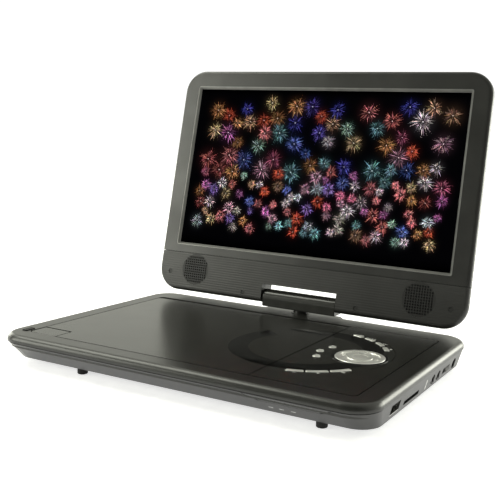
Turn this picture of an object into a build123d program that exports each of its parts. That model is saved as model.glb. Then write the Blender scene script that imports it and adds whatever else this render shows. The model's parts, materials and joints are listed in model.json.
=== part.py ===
from build123d import *
import math
import os

# Portable DVD player with a swivelling 10.1 inch screen, standing open.
#
# Every sub-part is built in a bench frame: X across the player (0 in the middle),
# Y from the front edge of the base backwards, Z up from the table.  The lid is
# built upright in its own frame, with its origin on the tilt axis, and is then
# leaned back.  At the end everything moves by one shift, which puts the origin
# under the middle of the whole player.  All sizes are in millimetres.

# ---------------------------------------------------------------- base casing
BASE_WIDTH = 256.0
BASE_DEPTH = 177.0
BASE_TOP = 20.5
BASE_CORNER = 17.0
FOOT_HEIGHT = 4.0
CASE_SPLIT = 15.4
SPLIT_GAP = 0.6
RIM_ROUND = 4.0
WALL = 2.2
FLOOR = 2.0
SIDE_SLOPE = 3.5
FRONT_SLOPE = 11.5
BACK_SLOPE = 5.0
SPLIT_INSET = 0.6
BUMP_WIDTH = 66.0
BUMP_END = 182.5
BUMP_CORNER = 4.2
BOSSES = ((-119.6, 24.0), (119.6, 24.0), (-119.6, 90.0), (-119.6, 158.0), (119.6, 158.0))
BOSS_R = 2.6
BOSS_TOP = 13.0
CASE_SCREW_R = 0.95
FEET = ((-70.0, 15.8), (94.5, 15.8), (-98.7, 160.0), (98.7, 160.0))
FOOT_R = 3.2
PAD_X = -117.4
PAD_Y = 17.6

# ---------------------------------------------------------------- front window and lights
# WINDOW_DROP and LED_DROP are measured down the front slope.
WINDOW_TOP_X = (52.2, 106.7)
WINDOW_LOW_X = (61.4, 99.7)
WINDOW_DROP = 5.4
LED_DROP = 10.4
LEDS_X = (67.8, 74.2, 81.4)
LED_SIZE = (3.0, 0.9)
WINDOW_GROOVE = 0.35

# ---------------------------------------------------------------- top panel
PANEL_WIDTH = 226.6
PANEL_FRONT = 14.5
PANEL_BACK = 154.5
PANEL_THICK = 2.0
PANEL_CORNER = 3.0
SEAM = 0.8
DOOR_SPLIT_X = 49.0
BUTTON_WIDTH = 21.5
BUTTON_DEPTH = 14.0
CATCH_X = -91.0
DOOR_AXIS_Y = 150.2
DOOR_AXIS_Z = BASE_TOP - 4.0
DOOR_CURL = 4.0
DOOR_PIN_R = 0.9
RUNNING_GAP = 0.05
KNUCKLES_X = (-101.0, 33.0)
KNUCKLE_WIDTH = 6.0
EAR_WIDTH = 2.6

# ---------------------------------------------------------------- disc bay
SPINDLE_X = -33.0
SPINDLE_Y = 84.5
WELL_RADIUS = 61.5
WELL_FLOOR = 13.5
PLATEAU_TOP = 15.0
TRAY_THICK = 1.2
BAY_LEFT = -116.9
BAY_RIGHT = 50.6
BAY_FRONT = 12.4
BAY_BACK = 156.6
BAY_WALL_TOP = BASE_TOP - WALL - 0.1
CHANNEL_Y = 147.4
CHANNEL_FLOOR = 11.0
TRAY_POSTS = ((-112.0, 35.0), (-112.0, 140.0), (44.0, 20.0), (44.0, 140.0))
CHASSIS_X = (-52.0, 44.0)
CHASSIS_Y = (54.0, 116.0)
CHASSIS_Z = (6.3, 7.3)
SLED_START = 24.0
SLED_TRAVEL = 33.0
ROD_Y = (67.5, 101.5)
ROD_Z = 9.6
ROD_R = 1.5
SCREW_Y = 108.5
SCREW_Z = 9.3
SCREW_R = 1.2

# ---------------------------------------------------------------- controls
RING_X = 49.3
RING_Y = 84.5
RING_OUTER = 48.5
RING_INNER = 36.0
INLAY_DEPTH = 0.4
NAV_X = 86.0
NAV_Y = 84.5
NAV_RADIUS = 15.4
NAV_TRIM_R = NAV_RADIUS + 2.0
OK_RADIUS = 5.0
KEY_GAP = 0.15
KEY_PROUD = 0.35
KEY_BOTTOM = 17.9
FLANGE_TOP = 18.4
FLANGE_LIP = 0.45
SMALL_KEY_R = 2.4
SMALL_KEY_ORBIT = 26.4
SMALL_KEYS = {"menu_key": 154.0, "setup_key": 182.0, "source_key": 210.0}
ARC_KEY_R = 50.8
ARC_KEY_WIDTH = 3.2
ARC_KEYS = {
    "previous_key": (68.0, 77.0),
    "play_key": (55.5, 65.0),
    "next_key": (41.0, 51.0),
    "stop_key": (27.5, 37.0),
    "volume_down_key": (-76.0, -64.6),
    "volume_up_key": (-63.4, -48.6),
    "mode_key": (-47.4, -33.0),
}

# ---------------------------------------------------------------- right side ports
PORT_Z = 9.5
PORT_FACE_X = 125.2
USB_Y = 39.9
CARD_Y = 66.8
CARD_Z = 8.0
JACKS_Y = (104.9, 115.2)
SWITCH_Y = (124.2, 137.6)
SWITCH_Z = 9.0
KNOB_LENGTH = 8.2
DC_Y = 147.2
BOARD_Z = (9.6, 10.8)
BOARD_POSTS = ((60.0, 36.0), (60.0, 146.0), (108.0, 90.0))

# ---------------------------------------------------------------- hinge and lid
HINGE_Y = 173.5
HINGE_Z = BASE_TOP + 8.2
HINGE_PLATE_TOP = 15.6
COLLAR_R = 7.2
COLLAR_LOW = BASE_TOP - 1.3
BARREL_R = 6.2
BARREL_HALF = 30.2
NECK_R = 5.5
FLANGE_R = 6.3
SHAFT_R = 3.4
CABLE_BORE_R = 1.8
TILT_PIN_R = 1.4
LEAN = 11.5
LID_WIDTH = 254.0
LID_HEIGHT = 178.8
LID_CORNER = 17.5
LID_HALF_THICK = 7.5
LID_DROP = 4.2
LID_SPLIT_Y = -3.0
LID_WALL = 1.2
LID_PLATE = 2.0
LID_EDGE_ROUND = 2.8
LID_TAPER = 9.0
NOTCH_HALF = 30.8
NOTCH_TOP = 9.4
PANEL_STRIP = 30.1
WINDOW_BOTTOM = 38.1
WINDOW_WIDTH = 223.6
WINDOW_HEIGHT = 125.8
TRIM_WIDTH = 2.0
SPEAKER_X = 92.6
SPEAKER_UP = 17.5
GRILLE_R = 12.1
GRILLE_PITCH = 1.9
GRILLE_HOLE = 1.15
PLUGS = ((-116.0, 13.8), (-47.0, 5.1), (47.0, 5.1), (116.0, 13.8))
PLUG_R = 1.7
STRIP_TOP = PANEL_STRIP - LID_DROP
STRIP_GAP = 0.3
PICTURE_MIDDLE = WINDOW_BOTTOM - LID_DROP + WINDOW_HEIGHT / 2
LCD_FRONT_Y = -LID_HALF_THICK + LID_PLATE + 0.05

parts = {}


# ---------------------------------------------------------------- helpers
def block(x0, x1, y0, y1, z0, z1):
    """A box between two corners."""
    middle = Pos((x0 + x1) / 2, (y0 + y1) / 2, (z0 + z1) / 2)
    return middle * Box(x1 - x0, y1 - y0, z1 - z0)


def post(x, y, z0, z1, radius):
    """An upright cylinder."""
    return Pos(x, y, (z0 + z1) / 2) * Cylinder(radius, z1 - z0)


def rod(x0, x1, y, z, radius):
    """A cylinder that lies along X."""
    return Pos((x0 + x1) / 2, y, z) * Rot(0, 90, 0) * Cylinder(radius, x1 - x0)


def slab(x0, x1, y0, y1, z0, z1, corner):
    """A flat plate with round corners."""
    outline = Pos((x0 + x1) / 2, (y0 + y1) / 2, z0) * RectangleRounded(x1 - x0, y1 - y0, corner)
    return extrude(outline, amount=z1 - z0)


def arc_band(radius, width, start, end, corner):
    """A flat curved bar around the control ring's centre."""
    centre = (RING_X, RING_Y)
    outer = CenterArc(centre, radius + width / 2, start, end - start)
    inner = CenterArc(centre, radius - width / 2, start, end - start)
    face = make_face([outer, Line(outer @ 1, inner @ 1), inner, Line(inner @ 0, outer @ 0)])
    return fillet(face.vertices(), corner)


def top_edges(shape):
    """The edges round a solid's highest face."""
    return shape.faces().sort_by(Axis.Z)[-1].outer_wire().edges()


# ---------------------------------------------------------------- base casing
def base_outline(inset):
    """Plan of the base, with the hinge bump at the back."""
    body = Pos(0, BASE_DEPTH / 2) * RectangleRounded(
        BASE_WIDTH - 2 * inset, BASE_DEPTH - 2 * inset, BASE_CORNER - inset
    )
    bump_start = BASE_DEPTH - 25.0
    bump = Pos(0, (bump_start + BUMP_END - inset) / 2) * RectangleRounded(
        BUMP_WIDTH - 2 * inset, BUMP_END - inset - bump_start, BUMP_CORNER - min(inset, 3.0)
    )
    plan = body + bump
    back = BASE_DEPTH - inset
    inner_corners = [
        v for v in plan.vertices() if abs(v.Y - back) < 0.01 and abs(v.X) < BUMP_WIDTH / 2 + 0.01
    ]
    return fillet(inner_corners, 1.0 + min(inset, 3.0))


def sloped_body(top_inset, wall, z_low):
    """The tapering tub below the casing split, less a wall thickness."""
    top = Pos(0, BASE_DEPTH / 2, CASE_SPLIT - SPLIT_GAP / 2) * RectangleRounded(
        BASE_WIDTH - 2 * (top_inset + wall),
        BASE_DEPTH - 2 * (top_inset + wall),
        BASE_CORNER - top_inset - wall,
    )
    front = FRONT_SLOPE + wall
    back = BASE_DEPTH - BACK_SLOPE - wall
    low = Pos(0, (front + back) / 2, z_low) * RectangleRounded(
        BASE_WIDTH - 2 * (SIDE_SLOPE + wall), back - front, BASE_CORNER - SIDE_SLOPE - wall
    )
    return loft([low, top], ruled=True)


def slope_plane():
    """The plane of the front's undercut face, at its upper edge in the middle."""
    drop = CASE_SPLIT - SPLIT_GAP / 2 - FOOT_HEIGHT
    run = FRONT_SLOPE - SPLIT_INSET
    length = math.hypot(drop, run)
    return Plane(
        origin=(0, SPLIT_INSET, CASE_SPLIT - SPLIT_GAP / 2),
        x_dir=(1, 0, 0),
        z_dir=(0, -drop / length, -run / length),
    )


def ir_window_outline(margin):
    """The front window's shape on the undercut face: a strip with slanting ends."""
    top, low, side = -0.4 - margin, -WINDOW_DROP + margin, 3 * margin
    shape = Polygon(
        (WINDOW_TOP_X[0] + side, top),
        (WINDOW_LOW_X[0] + side, low),
        (WINDOW_LOW_X[1] - side, low),
        (WINDOW_TOP_X[1] - side, top),
        align=None,
    )
    return fillet(shape.vertices().group_by(Axis.Y)[0], 2.5 - margin)


def led_outline(margin):
    """Three small light slots under the front window."""
    slots = [
        Pos(x, -LED_DROP) * SlotOverall(LED_SIZE[0] - 2 * margin, LED_SIZE[1] - 2 * margin)
        for x in LEDS_X
    ]
    return Sketch() + slots


def base_bottom_shell():
    rim = CASE_SPLIT - SPLIT_GAP / 2
    half = BUMP_WIDTH / 2 - 1
    tub = sloped_body(SPLIT_INSET, 0, FOOT_HEIGHT)
    tub += slab(-half, half, 150, BUMP_END - SPLIT_INSET, 9.0, rim, 4.5)
    cavity = sloped_body(SPLIT_INSET, WALL, FOOT_HEIGHT + FLOOR)
    cavity += slab(-half + WALL, half - WALL, 150, BUMP_END - WALL - SPLIT_INSET, 10.8, CASE_SPLIT, 2.3)
    tub -= cavity
    tongue = extrude(Pos(0, 0, 12.4) * (base_outline(WALL + 0.2) - base_outline(WALL + 1.3)), amount=4.4)
    tongue -= block(-12, 12, 170, 190, 12, 18)
    tongue -= block(100, 130, 30, 150, 12, 14.2)
    tub += tongue
    for x, y in BOSSES:
        tub += post(x, y, FOOT_HEIGHT + 1, BOSS_TOP, BOSS_R)
    for x, y in BOARD_POSTS:
        tub += post(x, y, FOOT_HEIGHT + 1, BOARD_Z[0], BOSS_R)
    for x, y in BOSSES:
        tub -= post(x, y, FOOT_HEIGHT - 1, BOSS_TOP + 1, CASE_SCREW_R + RUNNING_GAP)
        tub -= post(x, y, FOOT_HEIGHT - 1, FOOT_HEIGHT + 1.4, 2.1)
    return cut_front(cut_ports(tub))


def cut_ports(tub):
    """The openings in the right wall."""
    x0, x1 = 118.0, 130.0
    tub -= block(x0, x1, USB_Y - 6.75, USB_Y + 6.75, PORT_Z - 3.05, PORT_Z + 3.05)
    tub -= block(x0, x1, CARD_Y - 12.5, CARD_Y + 12.5, CARD_Z - 1.3, CARD_Z + 1.3)
    for y in JACKS_Y:
        tub -= rod(x0, x1, y, PORT_Z - 0.6, 3.1)
    tub -= rod(x0, x1, DC_Y, PORT_Z - 0.4, 3.4)
    return tub - block(x0, x1, SWITCH_Y[0], SWITCH_Y[1], SWITCH_Z - 1.8, SWITCH_Z + 1.8)


def cut_front(tub):
    """The shallow seats of the front window and lights."""
    tub -= extrude(slope_plane() * ir_window_outline(0), amount=-0.8)
    return tub - extrude(slope_plane() * led_outline(0), amount=-1.2)


def base_top_shell():
    low = CASE_SPLIT + SPLIT_GAP / 2
    shell = extrude(Pos(0, 0, low) * base_outline(0), amount=BASE_TOP - low)
    shell = fillet(top_edges(shell), RIM_ROUND)
    inside = base_outline(WALL)
    shell -= extrude(Pos(0, 0, CASE_SPLIT - 1) * inside, amount=BASE_TOP - WALL - CASE_SPLIT + 1)
    half = PANEL_WIDTH / 2
    opening = half + SEAM
    front, back = PANEL_FRONT - SEAM, PANEL_BACK + SEAM
    shell -= slab(-opening, opening, front, back, CASE_SPLIT, BASE_TOP + 1, PANEL_CORNER + SEAM)
    ledge_top = BASE_TOP - PANEL_THICK
    ledge = slab(-half - 2, half + 2, PANEL_FRONT - 2, PANEL_BACK + 2, 17.2, ledge_top, PANEL_CORNER)
    ledge -= block(-130, half - 1.6, PANEL_FRONT + 1.6, PANEL_BACK - 1.6, 17, 19)
    shell += ledge - block(-130, DOOR_SPLIT_X + 2, 0, 200, 17, 19)
    for x, y in BOSSES:
        shell += post(x, y, BOSS_TOP + 0.1, BASE_TOP - 1.5, BOSS_R)
        shell -= post(x, y, BOSS_TOP, BASE_TOP - 2.4, CASE_SCREW_R + RUNNING_GAP)
    for x in (-22.0, 22.0):
        for y in (163.0, 175.0):
            shell += post(x, y, HINGE_PLATE_TOP, BASE_TOP - 1.5, 2.2)
    shell -= post(0, HINGE_Y, CASE_SPLIT, BASE_TOP + 1, NECK_R + RUNNING_GAP)
    shell -= post(0, HINGE_Y, COLLAR_LOW, BASE_TOP + 1, COLLAR_R)
    return shell - lid_pad(0.0)


def lid_pad(proud):
    """A small rubber pad near the front left corner of the rim, for the lid to rest on."""
    x, y = PAD_X, PAD_Y
    return slab(x - 1.9, x + 1.9, y - 4, y + 4, BASE_TOP - 0.7, BASE_TOP + proud, 0.8)


def foot(x, y):
    pad = post(x, y, 0, FOOT_HEIGHT, FOOT_R)
    return fillet(pad.edges().group_by(Axis.Z)[0], 0.7)


def case_screw(x, y):
    shaft = post(x, y, FOOT_HEIGHT + 1.4, BASE_TOP - 3.0, CASE_SCREW_R)
    head = post(x, y, FOOT_HEIGHT + 0.3, FOOT_HEIGHT + 1.4, 1.8)
    slot = block(x - 1.2, x + 1.2, y - 0.25, y + 0.25, FOOT_HEIGHT, FOOT_HEIGHT + 0.8)
    cross = block(x - 0.25, x + 0.25, y - 1.2, y + 1.2, FOOT_HEIGHT, FOOT_HEIGHT + 0.8)
    return shaft + head - slot - cross


# ---------------------------------------------------------------- disc door and open button
def ring_plan():
    """The two-tone ring round the control centre: a band with a tapering tail."""
    ring = Pos(RING_X, RING_Y) * (Circle(RING_OUTER) - Circle(RING_INNER))
    tail = Pos(RING_X, RING_Y) * Polygon(
        (0, 0), (-50.3, 32.7), (-42.0, 48.3), (-32.2, 36.3), (3.0, 33.5), align=None
    )
    return ring - tail


def ring_part(x0, x1, depth, height=0.0):
    """One side of the ring: from a depth below the panel's face to a height above it."""
    plan = ring_plan() & (Pos((x0 + x1) / 2, RING_Y) * Rectangle(x1 - x0, 120))
    plan -= Pos(NAV_X, NAV_Y) * Circle(NAV_TRIM_R)
    return extrude(Pos(0, 0, BASE_TOP - depth) * plan, amount=depth + height)


def button_plan(margin, z0, z1):
    x0, y0 = -PANEL_WIDTH / 2, PANEL_FRONT
    return slab(x0 - 9, x0 + BUTTON_WIDTH + margin, y0 - 9, y0 + BUTTON_DEPTH + margin, z0, z1, 1.6)


def panel_plate(x0, x1, z0, z1, y1):
    """A piece of the flat top panel, cut from its round-cornered outline."""
    half = PANEL_WIDTH / 2
    whole = slab(-half, half, PANEL_FRONT, PANEL_BACK, z0, z1, PANEL_CORNER)
    return whole & block(x0, x1, 0, y1, z0 - 1, z1 + 1)


def disc_door():
    x0, x1 = -PANEL_WIDTH / 2, DOOR_SPLIT_X - SEAM / 2
    underside = BASE_TOP - PANEL_THICK
    door = panel_plate(x0, x1, underside, BASE_TOP, DOOR_AXIS_Y)
    door &= slab(x0, x1 + 9, PANEL_FRONT, DOOR_AXIS_Y, underside, BASE_TOP, PANEL_CORNER)
    curl = rod(x0 + PANEL_CORNER, x1, DOOR_AXIS_Y, DOOR_AXIS_Z, DOOR_CURL)
    curl -= rod(x0 - 1, x1 + 1, DOOR_AXIS_Y, DOOR_AXIS_Z, DOOR_CURL - PANEL_THICK)
    door += curl & block(x0 - 1, x1 + 1, DOOR_AXIS_Y, DOOR_AXIS_Y + 9, DOOR_AXIS_Z, BASE_TOP + 1)
    for x in KNUCKLES_X:
        a, b = x - KNUCKLE_WIDTH / 2, x + KNUCKLE_WIDTH / 2
        door += rod(a, b, DOOR_AXIS_Y, DOOR_AXIS_Z, 2.1)
        door += block(a, b, DOOR_AXIS_Y - 2, DOOR_AXIS_Y + 1.5, DOOR_AXIS_Z, underside + 0.5)
        door -= rod(a - 1, b + 1, DOOR_AXIS_Y, DOOR_AXIS_Z, DOOR_PIN_R + RUNNING_GAP)
    door -= button_plan(SEAM, underside - 1, BASE_TOP + 1)
    door += block(CATCH_X, CATCH_X + 1.6, 19.0, 26.0, 14.2, underside + 0.5)
    for y in (60.0, 110.0):
        door += block(-104, -96, y - 0.6, y + 0.6, underside - 1.2, underside + 0.5)
    return door - ring_part(-10, x1 + 1, INLAY_DEPTH + 0.01, 1.0)


def open_button():
    x0, y0 = -PANEL_WIDTH / 2, PANEL_FRONT
    cap = panel_plate(x0, x0 + BUTTON_WIDTH, 18.0, BASE_TOP - 0.1, y0 + BUTTON_DEPTH)
    cap &= button_plan(0, 17, BASE_TOP)
    cap = fillet(top_edges(cap), 0.4)
    stem = block(-110.5, -102.5, 19.5, 25.5, 10.4, 18.4)
    nose = block(-103, CATCH_X - 0.15, 20.0, 25.0, 14.6, 15.8)
    return cap + stem + nose


def open_button_spring():
    """A four-turn coil spring between the casing floor and the button's stem."""
    radius, wire, turns = 2.2, 0.25, 4
    low, high = FOOT_HEIGHT + FLOOR + wire, 10.4 - wire
    path = Helix((high - low) / turns, high - low, radius)
    profile = Plane(origin=path @ 0, z_dir=path % 0) * Circle(wire)
    return Pos(-106.5, 22.5, low) * sweep(profile, path=path, is_frenet=True)


# ---------------------------------------------------------------- disc bay
def disc_tray():
    low = PLATEAU_TOP - TRAY_THICK
    tray = block(BAY_LEFT, BAY_RIGHT, BAY_FRONT, CHANNEL_Y, low, PLATEAU_TOP)
    tray += post(SPINDLE_X, SPINDLE_Y, WELL_FLOOR - TRAY_THICK, PLATEAU_TOP, WELL_RADIUS + 1.2)
    tray -= post(SPINDLE_X, SPINDLE_Y, WELL_FLOOR, PLATEAU_TOP + 1, WELL_RADIUS)
    tray += block(BAY_LEFT, BAY_RIGHT, BAY_FRONT, BAY_FRONT + 1.2, low, BAY_WALL_TOP)
    tray += block(BAY_LEFT, BAY_LEFT + 1.2, BAY_FRONT, BAY_BACK, low, BAY_WALL_TOP)
    tray += block(BAY_RIGHT - 1.2, BAY_RIGHT, BAY_FRONT, BAY_BACK, low, BAY_WALL_TOP)
    tray += block(BAY_LEFT, BAY_RIGHT, CHANNEL_Y - 1.2, CHANNEL_Y, CHANNEL_FLOOR, PLATEAU_TOP)
    tray += block(BAY_LEFT, BAY_RIGHT, CHANNEL_Y - 1.2, BAY_BACK, CHANNEL_FLOOR, CHANNEL_FLOOR + 1.2)
    for x0, x1, y0 in (
        (BAY_LEFT, BAY_LEFT + 1.2, CHANNEL_Y),
        (BAY_RIGHT - 1.2, BAY_RIGHT, CHANNEL_Y),
        (BAY_LEFT, BAY_RIGHT, BAY_BACK - 1.2),
    ):
        tray += block(x0, x1, y0, BAY_BACK, CHANNEL_FLOOR, BAY_WALL_TOP)
    tray -= post(SPINDLE_X, SPINDLE_Y, 10, WELL_FLOOR + 1, 14.0)
    sled_slot = (SPINDLE_X + 13, SPINDLE_X + 66, SPINDLE_Y - 10, SPINDLE_Y + 10)
    tray -= slab(*sled_slot, 10, WELL_FLOOR + 0.01, 4)
    tray -= block(-112.5, CATCH_X + 3.5, 17.5, 27.5, low - 1, PLATEAU_TOP + 1)
    for x in KNUCKLES_X:
        for side in (-1, 1):
            tray += door_ear(x + side * (KNUCKLE_WIDTH / 2 + 1.7))
    for x in KNUCKLES_X:
        tray -= rod(x - 9, x + 9, DOOR_AXIS_Y, DOOR_AXIS_Z, DOOR_PIN_R)
    for x, y in TRAY_POSTS:
        tray += post(x, y, FOOT_HEIGHT + FLOOR, low + 0.5, 2.5)
    return tray


def door_ear(x):
    """A bracket that holds one end of a door pin, under the door's rolled edge."""
    a, b = x - EAR_WIDTH / 2, x + EAR_WIDTH / 2
    ear = rod(a, b, DOOR_AXIS_Y, DOOR_AXIS_Z, 1.85)
    ear += block(a, b, CHANNEL_Y - 0.6, DOOR_AXIS_Y, 13.9, DOOR_AXIS_Z + 1.85)
    return ear


def door_pin(x):
    return rod(x - 5.9, x + 5.9, DOOR_AXIS_Y, DOOR_AXIS_Z, DOOR_PIN_R)


def traverse_chassis():
    plate = slab(*CHASSIS_X, *CHASSIS_Y, *CHASSIS_Z, 4)
    plate -= slab(-19.5, 37.5, 62.5, 112.5, 6, 8, 2)
    for y in ROD_Y:
        for x0 in (-24.0, 38.5):
            plate += block(x0, x0 + 3.5, y - 3, y + 3, CHASSIS_Z[1] - 0.5, 11.9)
    plate += block(38.5, 42.0, SCREW_Y - 3, SCREW_Y + 3, CHASSIS_Z[1] - 0.5, 11.9)
    for y in ROD_Y:
        plate -= rod(-30, 50, y, ROD_Z, ROD_R)
    plate -= rod(-20, 50, SCREW_Y, SCREW_Z, SCREW_R + RUNNING_GAP)
    for x in (CHASSIS_X[0] + 5, CHASSIS_X[1] - 5):
        for y in (CHASSIS_Y[0] + 4, CHASSIS_Y[1] - 4):
            plate -= post(x, y, 5, 9, 2.0)
    return plate


def spindle_motor():
    can = post(SPINDLE_X, SPINDLE_Y, CHASSIS_Z[1], 12.6, 11.0)
    can += post(SPINDLE_X, SPINDLE_Y, 12.6, 13.3, 3.2)
    can = fillet(can.edges().filter_by(GeomType.CIRCLE).group_by(Axis.Z)[-3], 0.5)
    return can - post(SPINDLE_X, SPINDLE_Y, 8.0, 14.0, 1.0 + RUNNING_GAP)


def spindle_hub():
    table = post(SPINDLE_X, SPINDLE_Y, 13.9, 15.2, 13.0)
    cone = post(SPINDLE_X, SPINDLE_Y, 15.0, 17.4, 7.3)
    cone = chamfer(top_edges(cone), 1.0)
    hub = table + cone + post(SPINDLE_X, SPINDLE_Y, 8.6, 14.5, 1.0)
    for angle in (90, 210, 330):
        arm = Pos(SPINDLE_X, SPINDLE_Y, 17.4) * Rot(0, 0, angle) * Pos(5.4, 0, 0)
        hub -= arm * Box(2.2, 3.0, 1.6)
    return hub


def pickup_sled():
    x = SPINDLE_X + SLED_START
    sled = slab(x - 9.5, x + 10.5, 64.5, 104.5, 7.7, 12.0, 2)
    sled += block(x - 5, x + 6, 103, 111.3, 7.7, 11.4)
    for y in ROD_Y:
        sled -= rod(x - 20, x + 20, y, ROD_Z, ROD_R + RUNNING_GAP)
    sled -= rod(x - 20, x + 20, SCREW_Y, SCREW_Z, SCREW_R + RUNNING_GAP)
    actuator = slab(x - 6, x + 6, SPINDLE_Y - 8, SPINDLE_Y + 8, 11.9, 13.2, 1.5)
    return sled + actuator - post(x, SPINDLE_Y, 9.0, 14, 2.5)


def pickup_lens():
    x = SPINDLE_X + SLED_START
    lens = post(x, SPINDLE_Y, 9.0, 13.5, 2.5)
    return fillet(top_edges(lens), 0.8)


def lead_screw():
    screw = rod(-26.0, 41.5, SCREW_Y, SCREW_Z, SCREW_R)
    return screw - block(41.0, 42.0, SCREW_Y - 0.2, SCREW_Y + 0.2, SCREW_Z - 2, SCREW_Z + 2)


def sled_motor():
    return rod(-42.0, -26.1, SCREW_Y, SCREW_Z, 1.9) + block(
        -42.0, -28.0, SCREW_Y - 3.6, SCREW_Y + 3.6, CHASSIS_Z[1], 12.0
    )


def battery_pack():
    """Two flat cells side by side in one shrink film."""
    x0, x1, y0, y1 = -108.0, -62.0, 42.0, 130.0
    z0, z1 = FOOT_HEIGHT + FLOOR + 0.1, 11.4
    middle = (y0 + y1) / 2
    cells = slab(x0, x1, y0, middle - 0.6, z0, z1, 1.5)
    cells += slab(x0, x1, middle + 0.6, y1, z0, z1, 1.5)
    return cells + block(x0 + 2, x1 - 2, y0 + 2, y1 - 2, z0 + 0.6, z1 - 0.6)


# ---------------------------------------------------------------- control panel and keys
def key_outline(name, margin):
    """The plan of one key, grown by a margin."""
    if name in SMALL_KEYS:
        angle = math.radians(SMALL_KEYS[name])
        x = NAV_X + SMALL_KEY_ORBIT * math.cos(angle)
        y = NAV_Y + SMALL_KEY_ORBIT * math.sin(angle)
        return Pos(x, y) * Circle(SMALL_KEY_R + margin)
    start, end = ARC_KEYS[name]
    grow = math.degrees(margin / ARC_KEY_R)
    return arc_band(ARC_KEY_R, ARC_KEY_WIDTH + 2 * margin, start - grow, end + grow, 1.0)


def key_cap(name):
    cap = extrude(Pos(0, 0, KEY_BOTTOM) * key_outline(name, 0), amount=BASE_TOP + KEY_PROUD - KEY_BOTTOM)
    cap = fillet(top_edges(cap), 0.3)
    flange = extrude(Pos(0, 0, KEY_BOTTOM) * key_outline(name, FLANGE_LIP), amount=FLANGE_TOP - KEY_BOTTOM)
    return cap + flange


def control_panel():
    x0, x1 = DOOR_SPLIT_X + SEAM / 2, PANEL_WIDTH / 2
    low = BASE_TOP - PANEL_THICK
    panel = panel_plate(x0, x1, low, BASE_TOP, PANEL_BACK)
    for name in [*SMALL_KEYS, *ARC_KEYS]:
        panel -= extrude(Pos(0, 0, low - 1) * key_outline(name, KEY_GAP), amount=PANEL_THICK + 2)
    panel -= ring_part(x0 - 1, 110, INLAY_DEPTH + 0.01, 1.0)
    panel -= post(NAV_X, NAV_Y, low - 1, BASE_TOP + 1, NAV_RADIUS + KEY_GAP)
    panel -= post(NAV_X, NAV_Y, BASE_TOP - 0.9, BASE_TOP + 1, NAV_TRIM_R)
    groove = arc_band(55.6, 0.5, -24, 62, 0.1)
    return panel - extrude(Pos(0, 0, BASE_TOP - 0.4) * groove, amount=1.0)


def nav_trim_ring():
    ring = post(NAV_X, NAV_Y, BASE_TOP - 0.9, BASE_TOP + 0.25, NAV_TRIM_R)
    ring = fillet(top_edges(ring), 0.25)
    return ring - post(NAV_X, NAV_Y, 18, 22, NAV_RADIUS + KEY_GAP)


def nav_ring():
    """The four-way ring: a dished face with four raised arrows."""
    top = BASE_TOP + 0.55
    ring = post(NAV_X, NAV_Y, KEY_BOTTOM, top, NAV_RADIUS)
    ring = fillet(top_edges(ring), 0.5)
    ring += post(NAV_X, NAV_Y, KEY_BOTTOM, FLANGE_TOP, NAV_RADIUS + FLANGE_LIP)
    dish = Pos(NAV_X, NAV_Y, top + 0.02) * Torus(10.2, 2.3)
    ring -= dish & post(NAV_X, NAV_Y, top - 0.45, top + 5, NAV_RADIUS)
    for angle in (0, 90, 180, 270):
        place = Pos(NAV_X, NAV_Y, top - 0.6) * Rot(0, 0, angle) * Pos(11.0, 0, 0)
        arrow = Polygon((-1.0, -1.7), (1.2, 0), (-1.0, 1.7), align=None)
        ring += extrude(place * arrow, amount=0.5)
    return ring - post(NAV_X, NAV_Y, 17, 22, OK_RADIUS + KEY_GAP)


def ok_button():
    cap = post(NAV_X, NAV_Y, KEY_BOTTOM, BASE_TOP + 0.5, OK_RADIUS)
    return fillet(top_edges(cap), 0.6)


def keypad_mat():
    """Silicone sheet with a dome under each key."""
    mat = slab(53.0, 112.0, 19.0, 150.0, 16.5, 17.1, 2)
    mat += post(NAV_X, NAV_Y, 17.0, 17.38, 3.0)
    for name in [*SMALL_KEYS, *ARC_KEYS]:
        centre = key_outline(name, 0).bounding_box().center()
        mat += post(centre.X, centre.Y, 17.0, 17.38, 1.4)
    return mat


def key_board():
    board = slab(52.5, 112.5, 18.5, 150.5, 15.2, 16.4, 2)
    for x in (56.0, 108.0):
        for y in (22.0, 147.0):
            board -= post(x, y, 15, 17, 1.3)
    return board


def main_board():
    z0, z1 = BOARD_Z
    board = slab(55.0, 121.0, 30.0, 152.0, z0, z1, 2)
    for y, half in ((USB_Y, 7.3), (JACKS_Y[0], 4.6), (JACKS_Y[1], 4.6), (DC_Y, 5.1)):
        board -= block(109.5, 125, y - half, y + half, 9, 12)
    board -= block(113.5, 125, SWITCH_Y[0] - 2, SWITCH_Y[1] + 2, 9, 12)
    for x, y, wide, deep, high in (
        (84.0, 96.0, 16.0, 16.0, 1.4),
        (84.0, 72.0, 9.0, 14.0, 1.1),
        (64.0, 104.0, 6.0, 8.0, 1.4),
        (70.0, 136.0, 9.0, 9.0, 3.2),
        (92.0, 136.0, 6.0, 6.0, 2.6),
        (62.0, 60.0, 5.0, 18.0, 2.6),
    ):
        board += block(x - wide / 2, x + wide / 2, y - deep / 2, y + deep / 2, z1 - 0.2, z1 + high)
    for x, y in ((100.0, 120.0), (100.0, 128.0), (76.0, 44.0)):
        board += post(x, y, z1 - 0.2, z1 + 3.6, 2.4)
    return board


# ---------------------------------------------------------------- ports
def usb_port():
    shell = block(110.0, PORT_FACE_X, USB_Y - 6.6, USB_Y + 6.6, PORT_Z - 2.9, PORT_Z + 2.9)
    shell -= block(111.0, 130.0, USB_Y - 6.25, USB_Y + 6.25, PORT_Z - 2.55, PORT_Z + 2.55)
    return shell + block(110.5, PORT_FACE_X - 1.0, USB_Y - 5.2, USB_Y + 5.2, PORT_Z + 0.6, PORT_Z + 2.3)


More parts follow.
